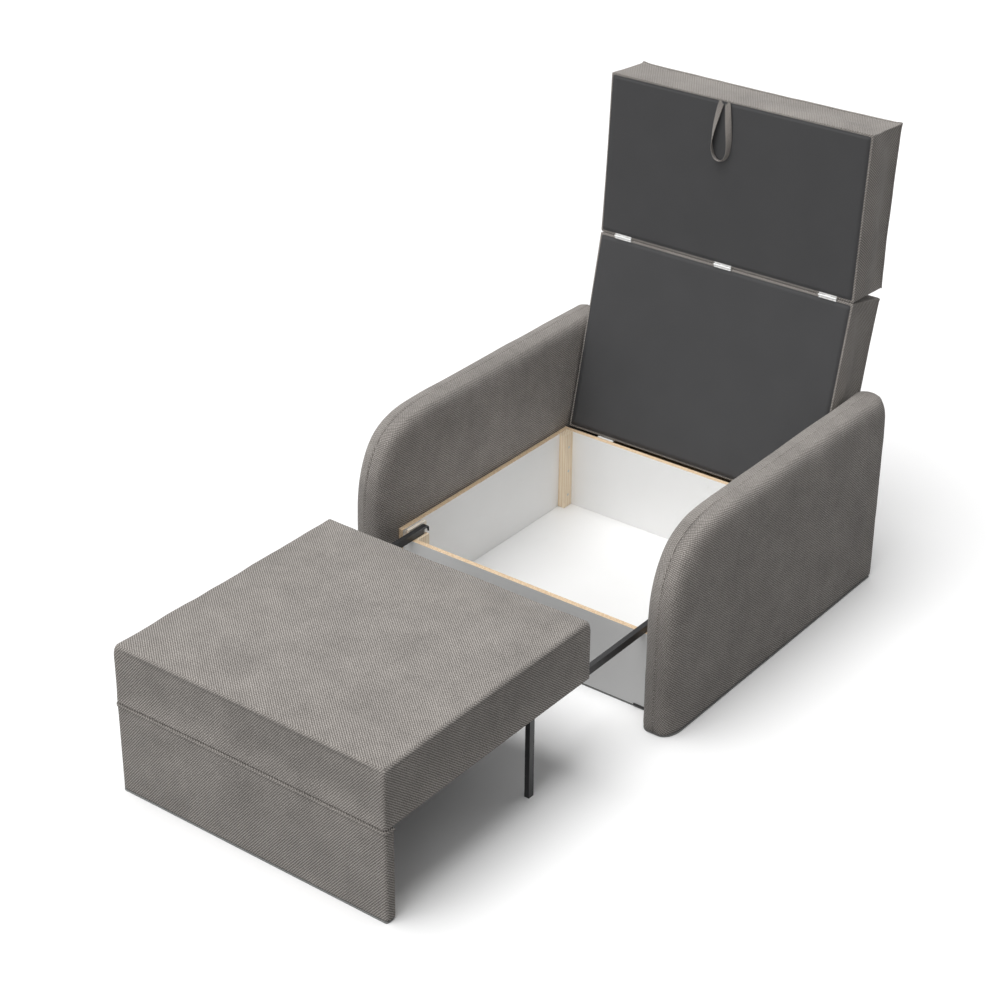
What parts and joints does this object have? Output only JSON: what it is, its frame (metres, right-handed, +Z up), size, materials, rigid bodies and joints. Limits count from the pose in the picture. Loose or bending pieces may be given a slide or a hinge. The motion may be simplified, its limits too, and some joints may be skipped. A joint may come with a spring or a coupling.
{
  "type": "convertible chair bed",
  "caption": "Upholstered armchair that becomes a bed: the seat slides out of a storage box on a steel carriage and the hinged back unfolds between padded arms.",
  "frame": {"origin": "centre of the bounding box's footprint, on the floor", "axes": "+Z up, +Y from the seat to the back, +X to the right of someone who faces the seat"},
  "size_m": [1.1234, 2.3344, 1.3891],
  "materials": {
    "cloth": "matt taupe-grey twill over foam",
    "black_cloth": "matt black non-woven cloth",
    "laminate": "white laminate on chipboard",
    "chipboard": "bare chipboard",
    "pine": "planed pine",
    "black_steel": "satin black powder coat",
    "zinc": "white zinc plate",
    "nylon": "natural nylon",
    "black_plastic": "black moulded plastic",
    "grey_plastic": "grey plastic strip"
  },
  "bodies": {
    "base": {"arm_base_strip_left": "grey_plastic", "arm_base_strip_right": "grey_plastic", "arm_board_left": "chipboard", "arm_board_right": "chipboard", "arm_pad_left": "cloth", "arm_pad_right": "cloth", "back_board": "laminate", "back_hinge_plate_left": "zinc", "back_hinge_plate_right": "zinc", "box_floor": "laminate", "corner_block_left": "pine", "corner_block_right": "pine", "front_board": "laminate", "leg_stop_left": "black_plastic", "leg_stop_right": "black_plastic", "plinth_strip": "grey_plastic", "rail_guide_block_left": "pine", "rail_guide_block_right": "pine", "rail_support_block_left": "pine", "rail_support_block_right": "pine", "rear_panel_board": "chipboard", "rear_panel_pad": "cloth", "side_board_left": "laminate", "side_board_right": "laminate"},
    "carriage": {"cross_tube": "black_steel", "leg_foot_left": "black_plastic", "leg_foot_right": "black_plastic", "leg_left": "black_steel", "leg_right": "black_steel", "rail_left": "black_steel", "rail_right": "black_steel"},
    "roller_left": {"rail_roller_left": "nylon"},
    "roller_right": {"rail_roller_right": "nylon"},
    "seat_module": {"front_panel_board": "chipboard", "front_panel_pad": "cloth", "front_panel_strip": "grey_plastic", "guide_shoe_left": "black_plastic", "guide_shoe_right": "black_plastic", "panel_angle": "black_steel", "seat_board": "chipboard", "seat_cushion": "cloth", "seat_dust_cover": "black_cloth"},
    "lower_back": {"back_hinge_leaf_left": "zinc", "back_hinge_leaf_right": "zinc", "fold_hinge_lower_leaf_1": "zinc", "fold_hinge_lower_leaf_2": "zinc", "fold_hinge_lower_leaf_3": "zinc", "lower_back_board": "chipboard", "lower_back_cover": "black_cloth", "lower_back_cushion": "cloth"},
    "fold_pins": {"fold_hinge_pin_1": "zinc", "fold_hinge_pin_2": "zinc", "fold_hinge_pin_3": "zinc"},
    "upper_back": {"fold_hinge_upper_leaf_1": "zinc", "fold_hinge_upper_leaf_2": "zinc", "fold_hinge_upper_leaf_3": "zinc", "pull_loop": "cloth", "upper_back_board": "chipboard", "upper_back_cover": "black_cloth", "upper_back_cushion": "cloth"}
  },
  "joints": [
    {"name": "rail_slide", "type": "slide", "parent": "base", "child": "carriage", "axis": [0, 1, 0], "range_m": [0, 0.501]},
    {"name": "seat_slide", "type": "slide", "parent": "carriage", "child": "seat_module", "axis": [0, 1, 0], "range_m": [0, 0.512]},
    {"name": "roller_left_spin", "type": "hinge", "parent": "carriage", "child": "roller_left", "pos_m": [-0.4087, 0.0398, 0.257], "axis": [1, 0, 0], "continuous": true},
    {"name": "roller_right_spin", "type": "hinge", "parent": "carriage", "child": "roller_right", "pos_m": [0.4087, 0.0398, 0.257], "axis": [1, 0, 0], "continuous": true},
    {"name": "back_hinge", "type": "hinge", "parent": "base", "child": "lower_back", "pos_m": [0, 0.8131, 0.2728], "axis": [-1, 0, 0], "range_deg": [-103.25, 0]},
    {"name": "fold_straighten", "type": "hinge", "parent": "lower_back", "child": "fold_pins", "pos_m": [0, 0.95832, 0.88953], "axis": [1, 0, 0], "range_deg": [-9.61, 0]},
    {"name": "fold", "type": "hinge", "parent": "fold_pins", "child": "upper_back", "pos_m": [0, 0.95832, 0.88953], "axis": [1, 0, 0], "range_deg": [0, 170.39]}
  ],
  "couplings": [
    {"joint": "fold_straighten", "follows": "back_hinge", "ratio": 0.09307}
  ]
}
